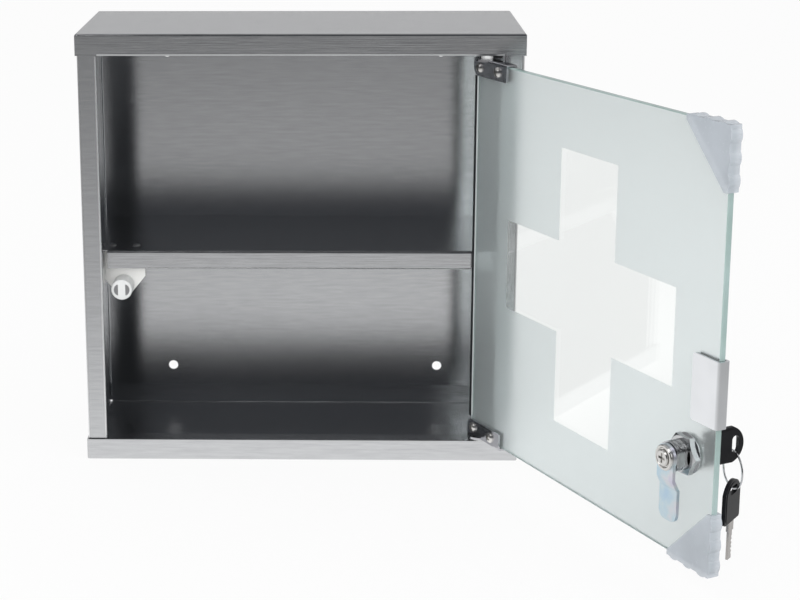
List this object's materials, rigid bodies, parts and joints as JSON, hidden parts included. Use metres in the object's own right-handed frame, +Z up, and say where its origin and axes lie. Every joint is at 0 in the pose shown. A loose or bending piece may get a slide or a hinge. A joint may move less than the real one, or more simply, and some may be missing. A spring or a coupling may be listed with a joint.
{
  "type": "lockable medicine cabinet",
  "caption": "Shallow wall cabinet of folded steel with a shelf, magnetic catch and a frosted glass door with cam lock and keys, shown open.",
  "frame": {"origin": "centre of the four wall holes, on the back face of the cabinet", "axes": "+X to the right seen from the front, +Y from the front to the wall, +Z up"},
  "size_m": [0.4144, 0.347, 0.3],
  "materials": {
    "brushed_sheet": "brushed stainless steel",
    "enamel": "smooth light grey enamel",
    "clear_glass": "polished, greenish edges",
    "frosting": "satin frosted layer",
    "bright_steel": "polished",
    "cam_steel": "zinc plated",
    "soft_liner": "matt",
    "catch_plastic": "moulded",
    "bush_plastic": "moulded",
    "magnet": "sintered",
    "pole_steel": "bare steel",
    "guard_plastic": "translucent, glossy",
    "key_plastic": "moulded",
    "key_steel": "nickel plated"
  },
  "bodies": {
    "cabinet": {"body_shell": "brushed_sheet", "top_cap": "brushed_sheet", "bottom_cap": "brushed_sheet", "shelf": "brushed_sheet", "catch_bracket": "enamel", "catch_rivets": "pole_steel", "catch_barrel": "catch_plastic", "catch_magnet": "magnet", "catch_pole_plates": "pole_steel", "upper_pivot_bush": "bush_plastic", "lower_pivot_bush": "bush_plastic", "lift_buffer": "soft_liner"},
    "door": {"glass_pane": "clear_glass", "frosted_film": "frosting", "upper_hinge_bracket": "bright_steel", "lower_hinge_bracket": "bright_steel", "upper_hinge_liner": "soft_liner", "lower_hinge_liner": "soft_liner", "upper_pivot_pin": "bright_steel", "lower_pivot_pin": "bright_steel", "upper_hinge_screws": "bright_steel", "lower_hinge_screws": "bright_steel", "handle_clip": "bright_steel", "clip_liner": "soft_liner", "upper_corner_guard": "guard_plastic", "lower_corner_guard": "guard_plastic", "lock_body": "bright_steel", "lock_nut": "bright_steel", "lock_washer": "bright_steel"},
    "lock_plug": {"lock_plug": "bright_steel", "lock_cam": "cam_steel", "cam_washer": "bright_steel", "cam_screw": "bright_steel"},
    "key": {"key_blade": "key_steel", "key_bow": "key_plastic"},
    "ring": {"key_ring": "bright_steel"},
    "spare_key": {"spare_key_blade": "key_steel", "spare_key_bow": "key_plastic"}
  },
  "joints": [
    {"name": "door_swing", "type": "hinge", "parent": "cabinet", "child": "door", "pos_m": [0.1242, -0.116, 0], "axis": [0, 0, 1], "range_deg": [-117.1, 0]},
    {"name": "lock_turn", "type": "hinge", "parent": "door", "child": "lock_plug", "pos_m": [0.22952, -0.32182, -0.0645], "axis": [-0.8902, -0.4555, 0], "range_deg": [0, 90]},
    {"name": "key_pull", "type": "slide", "parent": "lock_plug", "child": "key", "axis": [0.8902, 0.4555, 0], "range_m": [0, 0.022]},
    {"name": "ring_swing", "type": "hinge", "parent": "key", "child": "ring", "pos_m": [0.2573, -0.3076, -0.06894], "axis": [0.4555, -0.8902, 0], "range_deg": [-8, 60]},
    {"name": "spare_key_swing", "type": "hinge", "parent": "ring", "child": "spare_key", "pos_m": [0.2573, -0.3076, -0.09194], "axis": [0.4555, -0.8902, 0], "range_deg": [-8, 40]}
  ]
}
